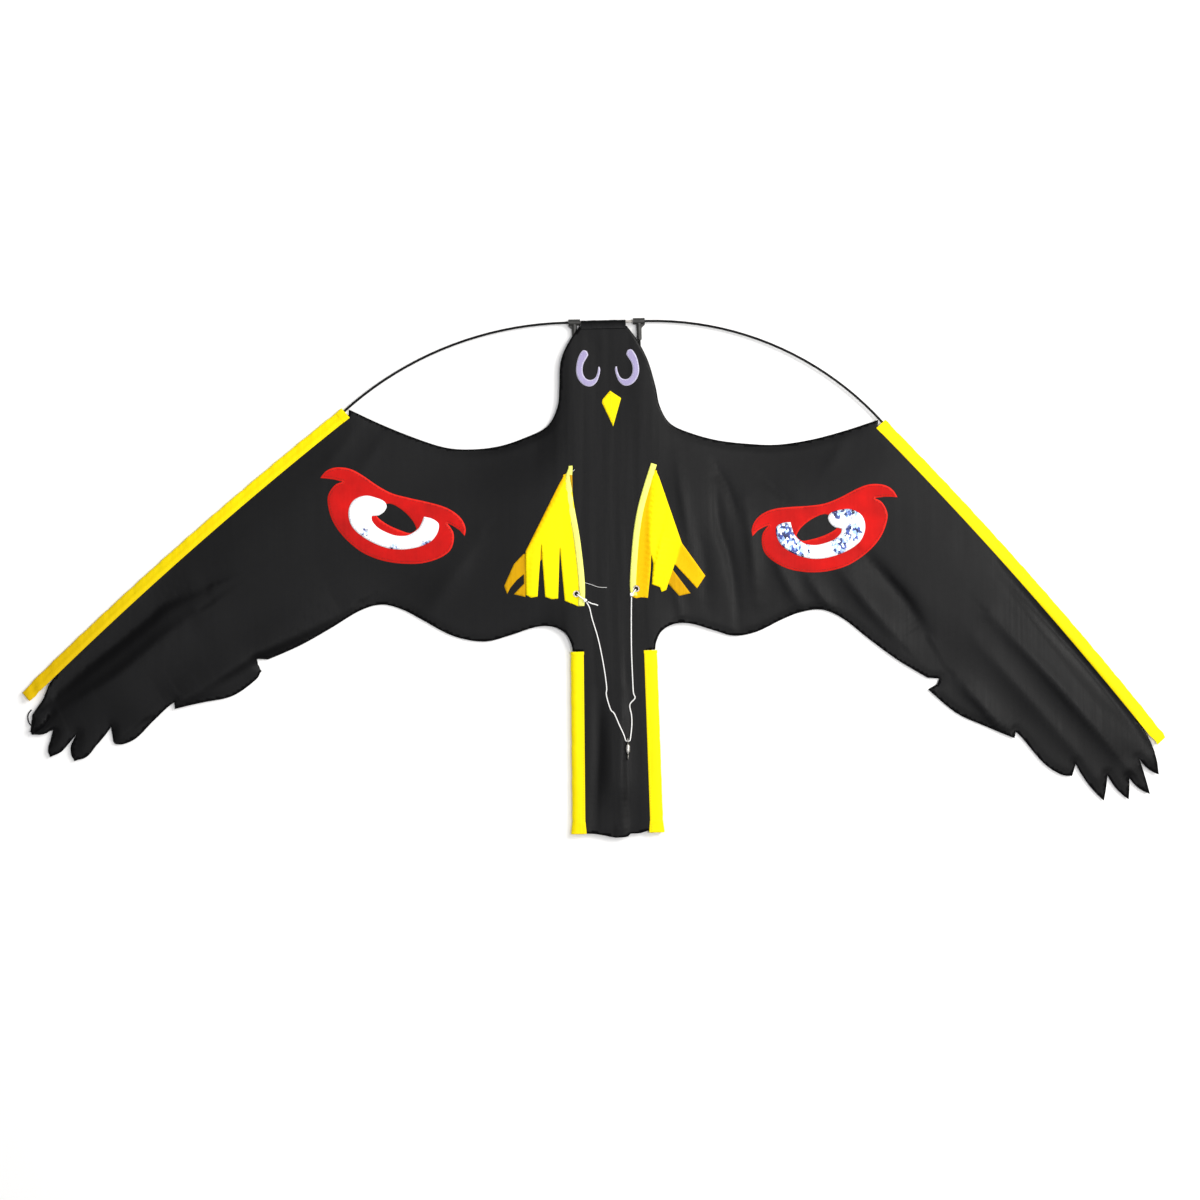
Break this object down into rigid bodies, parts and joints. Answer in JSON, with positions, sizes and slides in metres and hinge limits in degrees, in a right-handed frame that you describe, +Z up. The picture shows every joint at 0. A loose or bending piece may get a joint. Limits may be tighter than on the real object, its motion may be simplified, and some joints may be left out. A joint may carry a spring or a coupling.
{
  "type": "bird scarer kite",
  "caption": "Hawk-shaped bird scarer kite of dark cloth on bowed rods, with yellow edge sleeves, fringed keels and a cord bridle that ends in a barrel swivel.",
  "frame": {"origin": "middle of the kite's outline, on the floor that it lies on", "axes": "+X to the kite's right wing as seen from above, +Y to the head, +Z up from the floor"},
  "size_m": [1.2012, 0.5442, 0.0144],
  "materials": {
    "sail_cloth": "thin woven polyester, low sheen",
    "yellow_cloth": "thin woven polyester, bright yellow",
    "binding_tape": "folded binding tape, pale yellow",
    "red_cloth": "sewn-on woven cloth",
    "glint_film": "holographic film",
    "lavender_cloth": "sewn-on woven cloth",
    "rod": "pultruded fibreglass rod",
    "head_tube": "drawn tube",
    "fitting": "moulded plastic",
    "eyelet": "pressed eyelet",
    "cord": "twisted white cord",
    "swivel": "dark plated wire and barrel"
  },
  "bodies": {
    "kite": {"sail": "sail_cloth", "head_hem": "sail_cloth", "left_wing_sleeve": "yellow_cloth", "right_wing_sleeve": "yellow_cloth", "left_tail_sleeve": "yellow_cloth", "right_tail_sleeve": "yellow_cloth", "beak": "yellow_cloth", "left_keel_band": "yellow_cloth", "right_keel_band": "yellow_cloth", "left_binding": "binding_tape", "right_binding": "binding_tape", "left_eye_patch": "red_cloth", "right_eye_patch": "red_cloth", "left_eye_glint": "glint_film", "right_eye_glint": "glint_film", "left_head_eye": "lavender_cloth", "right_head_eye": "lavender_cloth", "left_wing_rod": "rod", "right_wing_rod": "rod", "left_spine_rod": "rod", "right_spine_rod": "rod", "head_tube": "head_tube", "left_tee": "fitting", "right_tee": "fitting", "left_eyelet": "eyelet", "right_eyelet": "eyelet", "left_tie": "cord", "right_tie": "cord", "left_knot": "cord", "right_knot": "cord", "left_tag": "cord"},
    "left_keel": {"left_keel_flap": "yellow_cloth", "left_keel_under": "yellow_cloth"},
    "right_keel": {"right_keel_flap": "yellow_cloth", "right_keel_under": "yellow_cloth"},
    "bridle": {"bridle_cord": "cord", "swivel_top_eye": "swivel"},
    "barrel": {"swivel_barrel": "swivel"},
    "line_eye": {"swivel_line_eye": "swivel"}
  },
  "joints": [
    {"name": "left_keel_swing", "type": "hinge", "parent": "kite", "child": "left_keel", "pos_m": [-0.022, -0.027, 0.0082], "axis": [-0.0404, 0.9992, 0], "range_deg": [0, 90]},
    {"name": "right_keel_swing", "type": "hinge", "parent": "kite", "child": "right_keel", "pos_m": [0.051, -0.022, 0.0082], "axis": [-0.1341, -0.991, 0], "range_deg": [0, 90]},
    {"name": "bridle_lift", "type": "hinge", "parent": "kite", "child": "bridle", "pos_m": [0.041, -0.019, 0.0109], "axis": [-0.9948, -0.1015, 0], "range_deg": [0, 170]},
    {"name": "barrel_turn", "type": "hinge", "parent": "bridle", "child": "barrel", "pos_m": [0.0335, -0.18, 0.0109], "axis": [0, -1, 0], "continuous": true},
    {"name": "line_eye_turn", "type": "hinge", "parent": "barrel", "child": "line_eye", "pos_m": [0.0335, -0.183, 0.0109], "axis": [0, -1, 0], "continuous": true}
  ]
}
